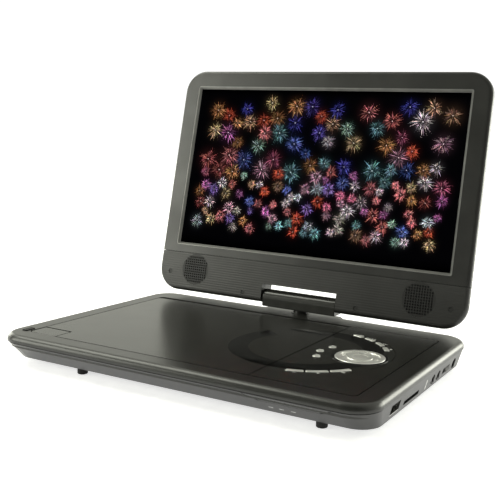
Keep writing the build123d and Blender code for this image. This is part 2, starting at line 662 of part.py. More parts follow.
def card_slot():
    low, high = CARD_Z - 1.75, CARD_Z + 1.5
    shell = block(98.0, 121.8, CARD_Y - 13.2, CARD_Y + 13.2, low, high)
    return shell - block(99.0, 130.0, CARD_Y - 12.1, CARD_Y + 12.1, CARD_Z - 1.15, CARD_Z + 1.15)


def audio_jack(y):
    z = PORT_Z - 0.6
    body = block(110.0, 121.8, y - 4.2, y + 4.2, z - 2.8, z + 2.8)
    nose = rod(121.0, PORT_FACE_X + 0.5, y, z, 2.95)
    return body + nose - rod(111.5, 130, y, z, 1.8)


def dc_jack():
    z = PORT_Z - 0.4
    body = block(110.0, 121.8, DC_Y - 4.7, DC_Y + 4.7, z - 3.0, z + 3.6)
    nose = rod(121.0, PORT_FACE_X + 0.4, DC_Y, z, 3.3)
    jack = body + nose - rod(112.0, 130, DC_Y, z, 2.75)
    return jack + rod(111.5, PORT_FACE_X - 1.5, DC_Y, z, 0.65)


def power_switch_body():
    low, high = SWITCH_Z - 2.6, SWITCH_Z + 2.6
    body = block(114.0, 122.0, SWITCH_Y[0] - 1.5, SWITCH_Y[1] + 1.5, low, high)
    return body - block(120.0, 123.0, SWITCH_Y[0] + 0.2, SWITCH_Y[1] - 0.2, SWITCH_Z - 1.4, SWITCH_Z + 1.4)


def power_switch_knob():
    y1 = SWITCH_Y[1] - 0.3
    y0 = y1 - KNOB_LENGTH
    knob = block(120.2, 126.3, y0, y1, SWITCH_Z - 1.3, SWITCH_Z + 1.3)
    for n in range(5):
        y = y0 + 1.2 + n * 1.45
        knob -= block(125.8, 127.0, y - 0.35, y + 0.35, SWITCH_Z - 2, SWITCH_Z + 2)
    return knob


# ---------------------------------------------------------------- swivel
def swivel_collar():
    ring = post(0, HINGE_Y, COLLAR_LOW, BASE_TOP + 0.25, COLLAR_R - RUNNING_GAP)
    return ring - post(0, HINGE_Y, 18, 22, NECK_R + RUNNING_GAP)


def hinge_plate():
    plate = slab(-27.0, 27.0, 159.5, 178.3, HINGE_PLATE_TOP - 1.2, HINGE_PLATE_TOP, 2)
    return plate - post(0, HINGE_Y, 14, 16, SHAFT_R + RUNNING_GAP)


def swivel_turret():
    neck = post(0, HINGE_Y, 17.0, HINGE_Z - 4.4, NECK_R)
    neck += post(0, HINGE_Y, HINGE_PLATE_TOP + 0.1, BASE_TOP - WALL - 0.1, FLANGE_R)
    neck += post(0, HINGE_Y, 11.2, 17.5, SHAFT_R)
    return neck - post(0, HINGE_Y, 8, 30, CABLE_BORE_R)


def swivel_nut():
    nut = extrude(Pos(0, HINGE_Y, 12.0) * RegularPolygon(5.4, 6), amount=2.3)
    return nut - post(0, HINGE_Y, 11, 15, SHAFT_R)


def barrel_cover():
    half = BARREL_HALF
    shell = rod(-half, half, HINGE_Y, HINGE_Z, BARREL_R)
    skirt = block(-half, half, HINGE_Y - BARREL_R, HINGE_Y + BARREL_R, HINGE_Z - BARREL_R, HINGE_Z)
    low_edges = skirt.edges().filter_by(Axis.X).group_by(Axis.Z)[0]
    shell += fillet(low_edges, 1.2)
    ends = shell.faces().filter_by(Axis.X)
    shell = fillet([edge for end in ends for edge in end.edges()], 0.5)
    shell -= rod(-half + 1.5, half - 1.5, HINGE_Y, HINGE_Z, BARREL_R - 1.2)
    shell -= rod(-half - 1, half + 1, HINGE_Y, HINGE_Z, TILT_PIN_R + 0.6)
    shell -= post(0, HINGE_Y, HINGE_Z - 8, HINGE_Z, CABLE_BORE_R)
    shell -= block(-half + 1.5, half - 1.5, HINGE_Y - 5.0, HINGE_Y + 5.0, HINGE_Z - 5.0, HINGE_Z)
    return shell - post(0, HINGE_Y, HINGE_Z - 8, HINGE_Z - 4, NECK_R)


def barrel_core():
    """Steel bracket inside the barrel: a strip with an ear at each end."""
    axis = HINGE_Z
    core = block(-26.5, 26.5, HINGE_Y - 3.0, HINGE_Y + 3.0, axis - 3.8, axis - 2.4)
    for side in (-1, 1):
        x0, x1 = sorted((side * 22.5, side * 26.5))
        core += block(x0, x1, HINGE_Y - 3.0, HINGE_Y + 3.0, axis - 3.8, axis + 2.8)
        core -= rod(x0 - 1, x1 + 1, HINGE_Y, axis, TILT_PIN_R + RUNNING_GAP)
    return core - post(0, HINGE_Y, axis - 5, axis, CABLE_BORE_R)


# ---------------------------------------------------------------- lid
# Built upright, with the origin on the tilt axis.
def lid_face(width, height, corner, z_middle, y):
    """A rounded rectangle that stands in the XZ plane."""
    plane = Plane(origin=(0, y, z_middle), x_dir=(1, 0, 0), z_dir=(0, -1, 0))
    return plane * RectangleRounded(width, height, corner)


def lid_prism(inset, y0, y1):
    """The lid's outline, less an inset, between two depths."""
    middle = LID_HEIGHT / 2 - LID_DROP
    face = lid_face(LID_WIDTH - 2 * inset, LID_HEIGHT - 2 * inset, LID_CORNER - inset, middle, y1)
    return extrude(face, amount=y1 - y0)


def window_block(margin, y0, y1, corner):
    """A block the size of the picture, grown by a margin."""
    face = lid_face(WINDOW_WIDTH + 2 * margin, WINDOW_HEIGHT + 2 * margin, corner, PICTURE_MIDDLE, y1)
    return extrude(face, amount=y1 - y0)


def notch(grow):
    """The space that the hinge barrel fills in the lid's lower edge."""
    half = NOTCH_HALF + grow
    return block(-half, half, -20, 20, -20, NOTCH_TOP + grow)


def pin_holes():
    return rod(-34, -30, 0, 0, TILT_PIN_R + 0.2) + rod(30, 34, 0, 0, TILT_PIN_R + 0.2)


def lid_front():
    """The whole front frame, before it is parted into screen bezel and speaker panel."""
    front = lid_prism(0, -LID_HALF_THICK, LID_SPLIT_Y)
    face = front.faces().sort_by(Axis.Y)[0]
    front = fillet(face.outer_wire().edges(), LID_EDGE_ROUND)
    cavity = lid_prism(LID_WALL, -LID_HALF_THICK + LID_PLATE, LID_SPLIT_Y + 1)
    front -= cavity - notch(LID_WALL)
    front -= window_block(TRIM_WIDTH, -10, 0, 1.5)
    return front - notch(0) - pin_holes()


def lid_bezel(front):
    return front & block(-200, 200, -20, 20, STRIP_TOP + STRIP_GAP / 2, 300)


def speaker_panel(front):
    panel = front & block(-200, 200, -20, 20, -20, STRIP_TOP - STRIP_GAP / 2)
    for side in (-1, 1):
        panel -= lid_bore(side * SPEAKER_X, SPEAKER_UP, -10, 0, GRILLE_R + 0.05)
    for x, up in PLUGS:
        panel -= lid_bore(x, up, -10, -LID_HALF_THICK + 1.0, PLUG_R + 0.1)
    return panel


def lid_bore(x, up, y0, y1, radius):
    """A cylinder across the lid's thickness, at a height above its lower edge."""
    return Pos(x, (y0 + y1) / 2, up - LID_DROP) * Rot(90, 0, 0) * Cylinder(radius, y1 - y0)


def speaker_grille(side):
    """A round perforated disc with a square grid of square holes."""
    y0, y1 = -LID_HALF_THICK + 0.1, -LID_HALF_THICK + 1.3
    disc = lid_bore(side * SPEAKER_X, SPEAKER_UP, y0, y1, GRILLE_R)
    count = int(GRILLE_R / GRILLE_PITCH)
    holes = []
    for column in range(-count, count + 1):
        for row in range(-count, count + 1):
            u, v = column * GRILLE_PITCH, row * GRILLE_PITCH
            if math.hypot(u, v) < GRILLE_R - 1.0:
                centre = Pos(side * SPEAKER_X + u, (y0 + y1) / 2, SPEAKER_UP - LID_DROP + v)
                holes.append(centre * Box(GRILLE_HOLE, 3.0, GRILLE_HOLE))
    return disc - holes


def screen_trim():
    """The sloping frame between the bezel and the picture."""
    y0, y1 = -LID_HALF_THICK + 0.1, -LID_HALF_THICK + LID_PLATE
    ring = window_block(TRIM_WIDTH - 0.1, y0, y1, 1.4)
    grow = 2 * TRIM_WIDTH - 1.2
    wide = lid_face(WINDOW_WIDTH + grow, WINDOW_HEIGHT + grow, 1.0, PICTURE_MIDDLE, y0 - 0.01)
    deep = lid_face(WINDOW_WIDTH, WINDOW_HEIGHT, 0.4, PICTURE_MIDDLE, y1 + 0.01)
    return ring - loft([deep, wide], ruled=True)


def lcd_panel():
    face = lid_face(WINDOW_WIDTH + 9, WINDOW_HEIGHT + 9, 1.0, PICTURE_MIDDLE, LCD_FRONT_Y + 1.4)
    return extrude(face, amount=1.4)


def lcd_backlight():
    """The shallow steel tray behind the display, with the driver board low on its back."""
    back = LCD_FRONT_Y + 4.6
    tray = extrude(lid_face(WINDOW_WIDTH + 12, WINDOW_HEIGHT + 13, 1.0, PICTURE_MIDDLE, back), amount=3.1)
    board = block(-50, 50, back - 0.1, back + 1.1, PICTURE_MIDDLE - 70, PICTURE_MIDDLE - 48)
    return tray + board


def speaker(side):
    """A small round loudspeaker: frame, cone and magnet."""
    x = side * SPEAKER_X
    y0 = -LID_HALF_THICK + LID_PLATE + 0.1
    frame = lid_bore(x, SPEAKER_UP, y0, y0 + 2.4, 13.4)
    frame -= lid_bore(x, SPEAKER_UP, y0 - 1, y0 + 1.2, 11.6)
    dome = lid_bore(x, SPEAKER_UP, y0 + 0.2, y0 + 1.5, 4.0)
    magnet = lid_bore(x, SPEAKER_UP, y0 + 2.3, y0 + 6.0, 8.0)
    return frame + dome + magnet


def lid_back_cover():
    y0, y1 = LID_SPLIT_Y + 0.2, LID_HALF_THICK
    outer = tapered_lid(0, y0, y1)
    face = outer.faces().sort_by(Axis.Y)[-1]
    outer = fillet(face.outer_wire().edges(), 2.2)
    cavity = tapered_lid(LID_WALL, y0 - 0.01, y1 - LID_WALL - 0.3)
    outer -= cavity - notch(LID_WALL)
    return outer - notch(0) - pin_holes()


def tapered_lid(wall, y0, y1):
    """The lid's back: its outline narrows at the sides and top towards the back."""
    middle = LID_HEIGHT / 2 - LID_DROP
    near = lid_face(LID_WIDTH - 2 * wall, LID_HEIGHT - 2 * wall, LID_CORNER - wall, middle, y0)
    low = -LID_DROP + 0.6 + wall
    high = LID_HEIGHT - LID_DROP - LID_TAPER - wall
    narrow = LID_WIDTH - 2 * (LID_TAPER + wall)
    far = lid_face(narrow, high - low, LID_CORNER - 3 - wall, (low + high) / 2, y1)
    return loft([near, far], ruled=True)


def tilt_hinge(side):
    """A friction hinge: a pin with a flattened leaf that is screwed into the lid."""
    x0, x1 = sorted((side * 21.0, side * 40.0))
    pin = rod(x0, x1, 0, 0, TILT_PIN_R)
    a, b = sorted((side * 33.0, side * 46.0))
    leaf = block(a, b, -0.7, 0.7, -1.1, 22.0)
    for z in (8.0, 17.0):
        leaf -= Pos(side * 40.0, 0, z) * Rot(90, 0, 0) * Cylinder(1.3, 4)
    return pin + leaf


def screw_plug(x, up):
    return lid_bore(x, up, -LID_HALF_THICK + 0.35, -LID_HALF_THICK + 1.0, PLUG_R)


def lean(shape):
    """Stands a lid piece on the hinge, leaned back."""
    return Pos(0, HINGE_Y, HINGE_Z) * Rot(-LEAN, 0, 0) * shape


# ---------------------------------------------------------------- assembly
def add(name, *shapes):
    parts[name] = list(shapes)


def build_base():
    add("base_bottom_shell", base_bottom_shell())
    add("base_top_shell", base_top_shell())
    add("ir_window", extrude(slope_plane() * ir_window_outline(WINDOW_GROOVE), amount=-0.75))
    add("status_leds", *extrude(slope_plane() * led_outline(0.05), amount=-1.15).solids())
    add("rubber_feet", *[foot(x, y) for x, y in FEET])
    add("case_screws", *[case_screw(x, y) for x, y in BOSSES])
    add("rim_pad", lid_pad(0.4))
    add("disc_tray", disc_tray())
    add("door_hinge_pins", *[door_pin(x) for x in KNUCKLES_X])
    add("traverse_chassis", traverse_chassis())
    add("guide_rods", *[rod(-24, 42, y, ROD_Z, ROD_R) for y in ROD_Y])
    add("drive_motors", spindle_motor(), sled_motor())
    add("battery_pack", battery_pack())
    add("main_board", main_board())
    add("key_board", key_board())
    add("keypad_mat", keypad_mat())
    add("control_panel", control_panel())
    add("panel_ring_inlay", ring_part(DOOR_SPLIT_X + SEAM / 2, 110, INLAY_DEPTH))
    add("nav_trim_ring", nav_trim_ring())
    add("usb_port", usb_port())
    add("card_slot", card_slot())
    add("audio_jacks", *[audio_jack(y) for y in JACKS_Y])
    add("dc_jack", dc_jack())
    add("power_switch_body", power_switch_body())
    add("hinge_plate", hinge_plate())
    add("swivel_collar", swivel_collar())


def build_moving():
    add("disc_door", disc_door())
    add("door_ring_inlay", ring_part(-10, DOOR_SPLIT_X - SEAM / 2, INLAY_DEPTH))
    add("open_button", open_button())
    add("open_button_spring", open_button_spring())
    for name in [*SMALL_KEYS, *ARC_KEYS]:
        add(name, key_cap(name))
    add("nav_ring", nav_ring())
    add("ok_button", ok_button())
    add("power_switch_knob", power_switch_knob())
    add("spindle_hub", spindle_hub())
    add("pickup_sled", pickup_sled())
    add("pickup_lens", pickup_lens())
    add("lead_screw", lead_screw())
    add("swivel_turret", swivel_turret(), swivel_nut())
    add("barrel_cover", barrel_cover())
    add("barrel_core", barrel_core())


def build_lid():
    front = lid_front()
    sides = (-1, 1)
    add("lid_bezel", lean(lid_bezel(front)))
    add("speaker_panel", lean(speaker_panel(front)))
    add("speaker_grilles", *[lean(speaker_grille(side)) for side in sides])
    add("screen_trim", lean(screen_trim()))
    add("lcd_panel", lean(lcd_panel()))
    add("lcd_backlight", lean(lcd_backlight()))
    add("speakers", *[lean(speaker(side)) for side in sides])
    add("lid_back_cover", lean(lid_back_cover()))
    add("tilt_hinges", *[lean(tilt_hinge(side)) for side in sides])
    add("screw_plugs", *[lean(screw_plug(x, up)) for x, up in PLUGS])


def write_parts():
    """Centres the player over the origin and writes one file per node."""
    nodes = {}
    for name, shapes in parts.items():
        nodes[name] = Compound(children=[solid for shape in shapes for solid in shape.solids()])
    boxes = [node.bounding_box() for node in nodes.values()]
    shift = -(min(box.min.Y for box in boxes) + max(box.max.Y for box in boxes)) / 2
    os.makedirs("parts", exist_ok=True)
    for name, node in nodes.items():
        export_step(Pos(0, shift, 0) * node, f"parts/{name}.step")
    print("nodes", len(nodes), "shift in Y", round(shift, 4))


build_base()
build_moving()
build_lid()
write_parts()
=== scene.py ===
import json
import math
import random

import bmesh
import bpy
from mathutils import Matrix, Vector


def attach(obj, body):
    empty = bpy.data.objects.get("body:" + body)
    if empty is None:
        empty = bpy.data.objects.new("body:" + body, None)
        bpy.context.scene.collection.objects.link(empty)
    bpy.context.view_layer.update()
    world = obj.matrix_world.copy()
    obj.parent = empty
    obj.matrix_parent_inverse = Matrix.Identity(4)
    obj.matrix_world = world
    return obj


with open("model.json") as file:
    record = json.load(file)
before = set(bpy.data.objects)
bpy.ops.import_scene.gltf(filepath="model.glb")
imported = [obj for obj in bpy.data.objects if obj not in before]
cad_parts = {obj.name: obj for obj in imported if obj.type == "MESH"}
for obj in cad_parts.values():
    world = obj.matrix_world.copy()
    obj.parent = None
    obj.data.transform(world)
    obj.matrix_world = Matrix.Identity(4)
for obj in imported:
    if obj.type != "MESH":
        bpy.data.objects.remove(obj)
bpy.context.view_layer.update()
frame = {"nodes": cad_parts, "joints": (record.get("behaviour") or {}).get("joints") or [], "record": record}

MM = 0.001
NODES = frame["nodes"]
JOINTS = {joint["name"]: joint for joint in frame["joints"]}
SLOT_OF = {part["node"]: part["material_slot"] for part in frame["record"]["subparts"]}

# ---------------------------------------------------------------- sizes that the looks need, in metres
LEAN = math.radians(11.5)
TILT_AXIS = Vector(JOINTS["lid_tilt"]["pos_m"])
PICTURE_SIZE = (223.6 * MM, 125.8 * MM)
PICTURE_LOW = 33.9 * MM
PICTURE_Y = -5.5 * MM
SWIVEL = Vector(JOINTS["lid_swivel"]["pos_m"])
RING_CENTRE = Vector((49.3 * MM, SWIVEL.y - 89.0 * MM))
PANEL_TOP = 20.5 * MM


# ---------------------------------------------------------------- node materials
NOISE_LOW, NOISE_HIGH = 0.3, 0.7
COLOUR_DRIFT = 0.12
ROUGHNESS_PATCH = 22 * MM
COLOUR_PATCH = 9 * MM
RIB_PITCH = 1.8 * MM
RIB_DEPTH = 0.10 * MM
# A wave texture of scale 1 repeats every 0.314 units.
WAVE_REPEAT = 0.314
BRUSHED = (0.04, 1, 1)
FINE_LINES = (0.03, 1, 1)


def new_material(name):
    material = bpy.data.materials.new(name)
    material.use_nodes = True
    tree = material.node_tree
    return material, tree, tree.nodes["Principled BSDF"]


def object_coordinates(tree, stretch=(1, 1, 1), turn=(0, 0, 0)):
    source = tree.nodes.new("ShaderNodeTexCoord")
    mapping = tree.nodes.new("ShaderNodeMapping")
    mapping.inputs["Scale"].default_value = stretch
    mapping.inputs["Rotation"].default_value = turn
    tree.links.new(source.outputs["Object"], mapping.inputs["Vector"])
    return mapping.outputs["Vector"]


def noise(tree, size, detail=3.0, stretch=(1, 1, 1)):
    """Noise whose lumps are about this size, in metres."""
    node = tree.nodes.new("ShaderNodeTexNoise")
    node.inputs["Scale"].default_value = 1 / size
    node.inputs["Detail"].default_value = detail
    tree.links.new(object_coordinates(tree, stretch), node.inputs["Vector"])
    return node.outputs["Fac"]


def spread(tree, value, low, high):
    """Maps the middle of a noise onto a range."""
    node = tree.nodes.new("ShaderNodeMapRange")
    node.inputs["From Min"].default_value = NOISE_LOW
    node.inputs["From Max"].default_value = NOISE_HIGH
    node.inputs["To Min"].default_value = low
    node.inputs["To Max"].default_value = high
    tree.links.new(value, node.inputs["Value"])
    return node.outputs["Result"]


def mix_colours(tree, factor, first, second):
    node = tree.nodes.new("ShaderNodeMix")
    node.data_type = "RGBA"
    node.inputs["A"].default_value = (*first, 1)
    node.inputs["B"].default_value = (*second, 1)
    tree.links.new(factor, node.inputs["Factor"])
    return node.outputs["Result"]


def add_bump(tree, bsdf, height, depth, strength=1.0):
    """Adds one more bump on top of what the shader's normal already has."""
    node = tree.nodes.new("ShaderNodeBump")
    node.inputs["Distance"].default_value = depth
    node.inputs["Strength"].default_value = strength
    tree.links.new(height, node.inputs["Height"])
    earlier = bsdf.inputs["Normal"].links
    if earlier:
        tree.links.new(earlier[0].from_socket, node.inputs["Normal"])
    tree.links.new(node.outputs["Normal"], bsdf.inputs["Normal"])


def shade(name, colour, rough, metal=0.0, gloss=0.5, grain=0.3, depth=0.01, wear=0.05, stretch=(1, 1, 1)):
    """A moulded or plated surface: grain and depth in mm, uneven roughness and a slight drift of colour."""
    material, tree, bsdf = new_material(name)
    bsdf.inputs["Metallic"].default_value = metal
    bsdf.inputs["Specular IOR Level"].default_value = gloss
    patches = noise(tree, ROUGHNESS_PATCH, 4.0)
    tree.links.new(spread(tree, patches, rough - wear, rough + wear), bsdf.inputs["Roughness"])
    darker = tuple((1 - COLOUR_DRIFT) * c for c in colour)
    lighter = tuple(min(1.0, (1 + COLOUR_DRIFT) * c) for c in colour)
    cloud = spread(tree, noise(tree, COLOUR_PATCH), 0.0, 1.0)
    tree.links.new(mix_colours(tree, cloud, darker, lighter), bsdf.inputs["Base Color"])
    if depth:
        add_bump(tree, bsdf, noise(tree, grain * MM, 2.0, stretch), depth * MM)
    return material, tree, bsdf


def plain(*args, **kwargs):
    return shade(*args, **kwargs)[0]


def speaker_panel_material():
    """Satin plastic with fine ribs that run across the lid."""
    material, tree, bsdf = shade("speaker_panel_black", (0.014, 0.014, 0.0125), 0.42, depth=0.006)
    ribs = tree.nodes.new("ShaderNodeTexWave")
    ribs.bands_direction = "Z"
    ribs.inputs["Scale"].default_value = WAVE_REPEAT / RIB_PITCH
    tree.links.new(object_coordinates(tree, turn=(LEAN, 0, 0)), ribs.inputs["Vector"])
    add_bump(tree, bsdf, ribs.outputs["Fac"], RIB_DEPTH, 0.5)
    return material


def pane_material():
    """The dark face of the display: almost no reflection, so that the picture stays clear."""
    return plain("screen_black", (0.002, 0.002, 0.003), 0.35, gloss=0.06, depth=0.002, wear=0.03)


def coloured_light(name, attribute, strength):
    """Light whose colour is painted on the mesh."""
    material, tree, bsdf = new_material(name)
    colour = tree.nodes.new("ShaderNodeVertexColor")
    colour.layer_name = attribute
    bsdf.inputs["Base Color"].default_value = (0.0, 0.0, 0.0, 1)
    bsdf.inputs["Roughness"].default_value = 0.6
    bsdf.inputs["Specular IOR Level"].default_value = 0.0
    bsdf.inputs["Emission Strength"].default_value = strength
    tree.links.new(colour.outputs["Color"], bsdf.inputs["Emission Color"])
    return material


def glass_material():
    material, tree, bsdf = shade("lens_glass", (0.6, 0.65, 0.85), 0.06, gloss=0.6, depth=0, wear=0.03)
    bsdf.inputs["Transmission Weight"].default_value = 0.8
    bsdf.inputs["IOR"].default_value = 1.5
    return material


MATERIALS = {
    "case_black": plain("case_black", (0.012, 0.012, 0.0105), 0.30, grain=0.25, depth=0.004, wear=0.02),
    "bezel_black": plain("bezel_black", (0.014, 0.014, 0.0125), 0.35, grain=0.25, depth=0.006),
    "speaker_panel_black": speaker_panel_material(),
    "panel_black": plain(
        "panel_black", (0.013, 0.013, 0.011), 0.25, grain=0.5, depth=0.005, wear=0.012, stretch=FINE_LINES
    ),
    "ring_gloss": plain("ring_gloss", (0.003, 0.003, 0.003), 0.10, gloss=0.35, depth=0.0, wear=0.04),
    # The bevel trim's light grey, half-metal colour is painted reflection: it stands in for the bright line
    # that the glossy bevel reflects.
    "trim_gloss": plain("trim_gloss", (0.2, 0.2, 0.19), 0.42, metal=0.5, gloss=0.7, depth=0.001, wear=0.05),
    "screen_black": pane_material(),
    "silver_key": plain("silver_key", (0.82, 0.82, 0.79), 0.30, metal=0.62, grain=0.2, depth=0.002),
    "rubber_black": plain("rubber_black", (0.012, 0.012, 0.012), 0.75, gloss=0.3, grain=0.4, depth=0.02),
    "silicone_grey": plain("silicone_grey", (0.3, 0.31, 0.31), 0.5, gloss=0.4, grain=0.5, depth=0.01),
    "led_white": plain("led_white", (0.42, 0.42, 0.41), 0.3, gloss=0.5, depth=0.001),
    "bright_steel": plain(
        "bright_steel", (0.6, 0.6, 0.58), 0.24, metal=1.0, depth=0.004, stretch=BRUSHED
    ),
    "zinc_steel": plain(
        "zinc_steel", (0.5, 0.5, 0.5), 0.38, metal=1.0, grain=0.5, depth=0.006, stretch=BRUSHED
    ),
    "turret_black": plain("turret_black", (0.02, 0.02, 0.018), 0.3, gloss=0.5, grain=0.3, depth=0.003),
    "black_port": plain("black_port", (0.008, 0.008, 0.008), 0.45, gloss=0.35, grain=0.3, depth=0.004),
    "switch_grey": plain("switch_grey", (0.10, 0.10, 0.095), 0.4, gloss=0.5, grain=0.3, depth=0.006),
    "tray_black": plain("tray_black", (0.02, 0.02, 0.02), 0.42, gloss=0.45, grain=0.35, depth=0.01),
    "lens_glass": glass_material(),
    "board_green": plain("board_green", (0.02, 0.11, 0.05), 0.35, gloss=0.5, grain=0.6, depth=0.01),
    "battery_film": plain("battery_film", (0.03, 0.07, 0.22), 0.3, gloss=0.5, grain=1.2, depth=0.02),
    "speaker_cone": plain("speaker_cone", (0.02, 0.02, 0.02), 0.7, gloss=0.3, grain=0.5, depth=0.02),
}

# Nodes whose finish differs from the rest of their slot. The barrel's lighter colour is painted light and
# the grille's darker colour is painted shade.
SPECIAL = {
    # The barrel cover is glossier than the bezel, and its colour is lighter than the same black plastic:
    # painted light for the light its face catches.
    "barrel_cover": plain("barrel_gloss", (0.040, 0.040, 0.037), 0.2, gloss=0.6, depth=0.001, wear=0.03),
    # The grille is rougher than the lid, and its colour is darker than the same black plastic: painted shade
    # for the shade in its holes.
    "speaker_grilles": plain("grille_black", (0.009, 0.009, 0.008), 0.5, gloss=0.4, grain=0.3, depth=0.004),
    "ir_window": plain("smoked_window", (0.04, 0.04, 0.038), 0.22, gloss=0.7, grain=0.4, depth=0.001),
    "screw_plugs": plain("plug_black", (0.010, 0.010, 0.009), 0.5, gloss=0.4, grain=0.3, depth=0.004),
}


def dress_cad_nodes():
    for name, thing in NODES.items():
        thing.data.materials.clear()
        thing.data.materials.append(SPECIAL.get(name, MATERIALS[SLOT_OF[name]]))


# ---------------------------------------------------------------- placing things on the lid and the base
def lid_matrix():
    return Matrix.Translation(TILT_AXIS) @ Matrix.Rotation(-LEAN, 4, "X")


def link_mesh(name, mesh, matrix, body, material):
    thing = bpy.data.objects.new(name, mesh)
    bpy.context.scene.collection.objects.link(thing)
    mesh.transform(matrix)
    mesh.materials.append(material)
    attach(thing, body)


# ---------------------------------------------------------------- the picture on the display
WARM = [(0.9, 0.42, 0.16), (0.95, 0.16, 0.08), (0.9, 0.66, 0.34), (0.8, 0.22, 0.2), (0.85, 0.5, 0.3)]
COOL = [(0.2, 0.28, 0.85), (0.35, 0.7, 0.75), (0.45, 0.28, 0.85), (0.45, 0.7, 0.55)]
ROSE = [(0.95, 0.25, 0.4), (1.0, 0.55, 0.7), (0.8, 0.26, 0.65), (1.0, 0.85, 0.92), (0.95, 0.3, 0.3)]
PALE = [(1.0, 0.9, 0.75), (0.82, 0.92, 1.0), (1.0, 0.78, 0.85)]
NIGHT = [(0.10, 0.10, 0.55), (0.16, 0.12, 0.6), (0.08, 0.14, 0.45)]
PICTURE_SEED = 11
# Two even bands from edge to edge. Large bursts fill the upper sky and small ones the lower.
# Each says how many bursts, where they are (across and up, 0 to 1), their radii in mm and their colours.
SKY_BANDS = (
    (62, (0.05, 0.95), (0.46, 0.92), (7.0, 12.0), WARM + COOL + ROSE + NIGHT),
    (96, (0.05, 0.95), (0.12, 0.52), (4.5, 8.0), ROSE + PALE + COOL + WARM),
)
# The least distance between two bursts, as a share of their radii together, and how often a place is tried.
CLOSEST = 0.55
TRIES = 40
SKY_BLACK = (0.0008, 0.0008, 0.0012)
SMOKE = 0.028
SMOKE_REACH = 0.6
FADE_AT_FOOT = 0.06
FADE_AT_TOP = 0.04
SHEET_INSET = 0.1 * MM
# Room left for a burst inside the picture, with its streaks' droop.
WIDEST_REACH = 1.12
BURST_MARGIN = 0.2 * MM
STREAKS = (30, 46)
STREAK_WIDTH = (0.025, 0.06)
STREAK_LIGHTS = (0.4, 0.9, 1.6, 3.0)
STREAK_BELLY = 0.4
STREAK_DROOP = 0.08
# How bright a streak is at its start, its two sides and its tip, in the order of its corners.
STREAK_FADE = (0.6, 1.0, 0.25, 1.0)
STREAK_LIFT = 0.05 * MM
CORE_LIFT = 0.06 * MM
CORE_SIZE = 0.03
CORE_SIDES = 6
SKY_STRENGTH = 1.0
SPARK_STRENGTH = 2.2


def scatter_bursts(rng):
    """Where the fireworks stand: (across, up, radius in mm, colour), across and up from 0 to 1."""
    bursts = []
    for count, across_range, up_range, sizes, palette in SKY_BANDS:
        for _ in range(count):
            size = rng.uniform(*sizes)
            for _ in range(TRIES):
                across, up = rng.uniform(*across_range), rng.uniform(*up_range)
                x, z = picture_point(across, up)
                gaps = [
                    math.dist((x, z), picture_point(b_across, b_up)) / ((b_size + size) * MM)
                    for b_across, b_up, b_size, _ in bursts
                ]
                if not gaps or min(gaps) > CLOSEST:
                    bursts.append((across, up, size, rng.choice(palette)))
                    break
    return bursts


def picture_point(across, up):
    return (across - 0.5) * PICTURE_SIZE[0], up * PICTURE_SIZE[1] + PICTURE_LOW


def glow_colour(across, up, bursts):
    """The smoke between the bursts: the sum of soft patches of their colours."""
    x, z = picture_point(across, up)
    total = list(SKY_BLACK)
    for b_across, b_up, size, colour in bursts:
        bx, bz = picture_point(b_across, b_up)
        fade = math.exp(-((x - bx) ** 2 + (z - bz) ** 2) / (SMOKE_REACH * size * MM) ** 2)
        for channel in range(3):
            total[channel] += SMOKE * fade * colour[channel]
    edge = min(1.0, up / FADE_AT_FOOT) * min(1.0, (1 - up) / FADE_AT_TOP)
    return [edge * t for t in total] + [1.0]


def glow_grid(bursts, columns=180, rows=100):
    """A thin sheet over the whole picture, painted with smoke."""
    vertices, colours = [], []
    for row in range(rows + 1):
        for column in range(columns + 1):
            across, up = column / columns, row / rows
            x, z = picture_point(across, up)
            side = PICTURE_SIZE[0] / 2 - SHEET_INSET
            low = PICTURE_LOW + SHEET_INSET
            high = PICTURE_LOW + PICTURE_SIZE[1] - SHEET_INSET
            x = max(-side, min(side, x))
            z = max(low, min(high, z))
            vertices.append((x, PICTURE_Y, z))
            colours.append(glow_colour(across, up, bursts))
    wide = columns + 1
    faces = []
    for row in range(rows):
        for column in range(columns):
            first = row * wide + column
            faces.append((first, first + 1, first + wide + 1, first + wide))
    return vertices, faces, colours


def painted_mesh(name, vertices, faces, colours):
    mesh = bpy.data.meshes.new(name)
    mesh.from_pydata(vertices, [], faces)
    layer = mesh.color_attributes.new("paint", "FLOAT_COLOR", "POINT")
    layer.data.foreach_set("color", [value for colour in colours for value in colour])
    return mesh


def add_streak(arrays, centre, angle, start, length, width, colour):
    """One trail of sparks: a thin kite, brightest before its middle, that falls a little at its tip."""
    vertices, faces, colours = arrays
    cx, cz = centre
    dx, dz = math.cos(angle), math.sin(angle)
    belly = start + STREAK_BELLY * (length - start)
    y = PICTURE_Y - STREAK_LIFT
    first = len(vertices)
    vertices.append((cx + dx * start, y, cz + dz * start))
    vertices.append((cx + dx * belly - dz * width, y, cz + dz * belly + dx * width))
    vertices.append((cx + dx * length, y, cz + dz * length - STREAK_DROOP * length))
    vertices.append((cx + dx * belly + dz * width, y, cz + dz * belly - dx * width))
    faces.append((first, first + 1, first + 2, first + 3))
    for strength in STREAK_FADE:
        colours.append([strength * c for c in colour] + [1.0])


def add_core(arrays, centre, radius, colour):
    """The bright middle of a burst."""
    vertices, faces, colours = arrays
    first = len(vertices)
    y = PICTURE_Y - CORE_LIFT
    for step in range(CORE_SIDES):
        angle = 2 * math.pi * step / CORE_SIDES
        vertices.append((centre[0] + radius * math.cos(angle), y, centre[1] + radius * math.sin(angle)))
        colours.append([0.5 + 0.5 * c for c in colour] + [1.0])
    faces.append(tuple(range(first, first + CORE_SIDES)))


